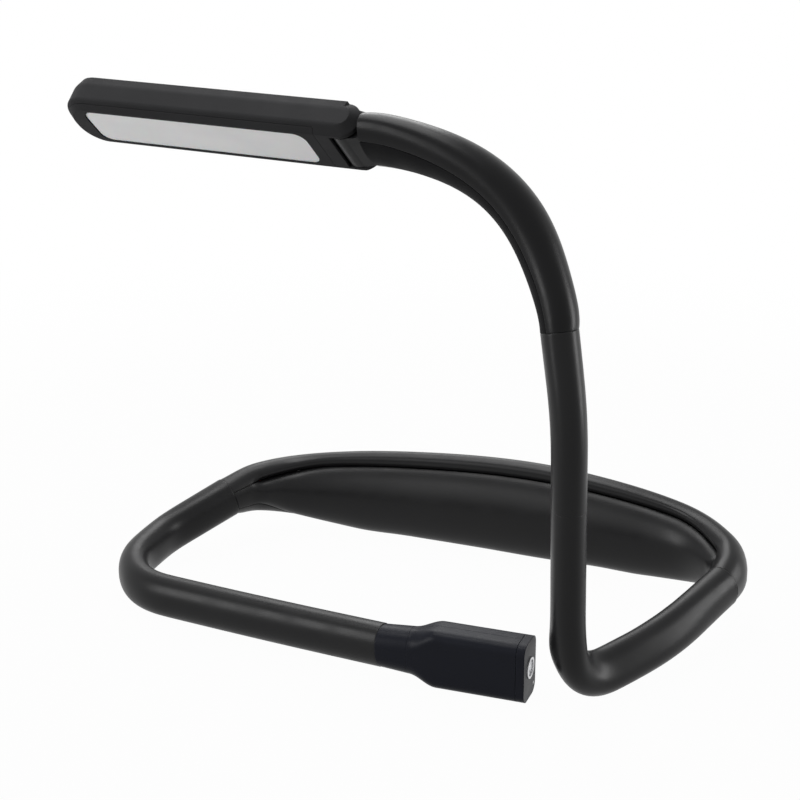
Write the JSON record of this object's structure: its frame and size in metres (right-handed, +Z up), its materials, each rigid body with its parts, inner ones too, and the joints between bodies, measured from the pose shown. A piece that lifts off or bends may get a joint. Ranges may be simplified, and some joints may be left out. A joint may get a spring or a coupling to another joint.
{
  "type": "neck reading light",
  "caption": "Neck-worn reading light: padded band, two bendable necks, torch pod with buttons, curved arm and tilting lamp head.",
  "frame": {"origin": "centre of the light's bounding box, on the surface that it rests on", "axes": "+Z up; +X towards the end of the neck band that carries the arm; +Y from the open side of the loop towards the back of the neck band"},
  "size_m": [0.2038, 0.1039, 0.1604],
  "materials": {
    "neck_sleeve": "matte soft touch",
    "band_cover": "matte soft touch",
    "band_pad": "matte",
    "arm_shell": "fine texture with a soft sheen",
    "head_shell": "fine texture",
    "pod_shell": "smooth satin",
    "button": "satin",
    "diffuser": "frosted",
    "lens": "clear",
    "light_pipe": "clear",
    "chrome_ring": "polished",
    "core_steel": "drawn",
    "spring_steel": "rolled",
    "hinge_steel": "turned",
    "washer": "nylon",
    "wire": "insulated",
    "battery": "pouch",
    "board": "solder mask",
    "white_board": "white solder mask",
    "led": "phosphor",
    "reflector": "white",
    "heat_strip": "mill",
    "switch": "moulded",
    "socket": "stamped"
  },
  "bodies": {
    "root": {"band_outer_cover": "band_cover", "band_inner_pad": "band_pad", "band_spring_strip": "spring_steel", "band_core_clamps": "core_steel", "band_wires": "wire", "battery_cell": "battery", "charge_board": "board", "left_sleeve_root": "neck_sleeve", "left_core_root": "core_steel", "left_wires_root": "wire", "left_sleeve_flex": "neck_sleeve", "left_core_flex": "core_steel", "left_wires_flex": "wire", "right_sleeve_root": "neck_sleeve", "right_core_root": "core_steel", "right_wires_root": "wire", "right_sleeve_lower_flex": "neck_sleeve", "right_core_lower_flex": "core_steel", "right_wires_lower_flex": "wire"},
    "left_neck": {"pod_collar": "pod_shell", "pod_core_clamp": "core_steel", "pod_front_shell": "pod_shell", "pod_back_shell": "pod_shell", "pod_end_cap": "pod_shell", "torch_lens": "lens", "torch_reflector": "chrome_ring", "torch_board": "board", "control_board": "board", "charging_socket": "socket", "tact_switches": "switch", "charge_light": "light_pipe", "left_sleeve_front": "neck_sleeve", "left_core_front": "core_steel", "left_wires_front": "wire"},
    "power_button": {"power_button": "button"},
    "torch_button": {"torch_button": "button"},
    "stem": {"right_sleeve_stem": "neck_sleeve", "right_core_stem": "core_steel", "right_wires_stem": "wire", "right_sleeve_upper_flex": "neck_sleeve", "right_core_upper_flex": "core_steel", "right_wires_upper_flex": "wire"},
    "arm": {"arm_outer_shell": "arm_shell", "arm_inner_cover": "arm_shell", "arm_core_clamp": "core_steel", "arm_wires": "wire", "hinge_knuckle": "arm_shell"},
    "head": {"head_top_shell": "head_shell", "head_bezel": "head_shell", "diffuser": "diffuser", "reflector_tray": "reflector", "led_board": "white_board", "leds": "led", "heat_strip": "heat_strip", "hinge_pin": "hinge_steel", "hinge_washers": "washer", "head_wires": "wire"}
  },
  "joints": [
    {"name": "left_bend", "type": "hinge", "parent": "root", "child": "left_neck", "pos_m": [-0.07635, -0.0325, 0.0062], "axis": [0, 0, 1], "range_deg": [-60, 25], "deforming": ["left_sleeve_flex", "left_core_flex", "left_wires_flex"]},
    {"name": "stem_bend", "type": "hinge", "parent": "root", "child": "stem", "pos_m": [0.06757, -0.0418, 0.036], "axis": [0.9326, -0.361, 0], "range_deg": [-30, 60], "deforming": ["right_sleeve_lower_flex", "right_core_lower_flex", "right_wires_lower_flex"]},
    {"name": "arm_bend", "type": "hinge", "parent": "stem", "child": "arm", "pos_m": [0.0656, -0.0411, 0.088], "axis": [0.14, 0.9901, 0], "range_deg": [-30, 45], "deforming": ["right_sleeve_upper_flex", "right_core_upper_flex", "right_wires_upper_flex"]},
    {"name": "head_tilt", "type": "hinge", "parent": "arm", "child": "head", "pos_m": [-0.0042, -0.02365, 0.14975], "axis": [0.1021, 0.6999, -0.7069], "range_deg": [-30, 75]},
    {"name": "power_press", "type": "slide", "parent": "left_neck", "child": "power_button", "axis": [0.0698, -0.9976, 0], "range_m": [0, 0.0004], "stiffness_N_per_m": 400, "springref_m": -0.0005},
    {"name": "torch_press", "type": "slide", "parent": "left_neck", "child": "torch_button", "axis": [0.0698, -0.9976, 0], "range_m": [0, 0.0004], "stiffness_N_per_m": 400, "springref_m": -0.0005}
  ]
}
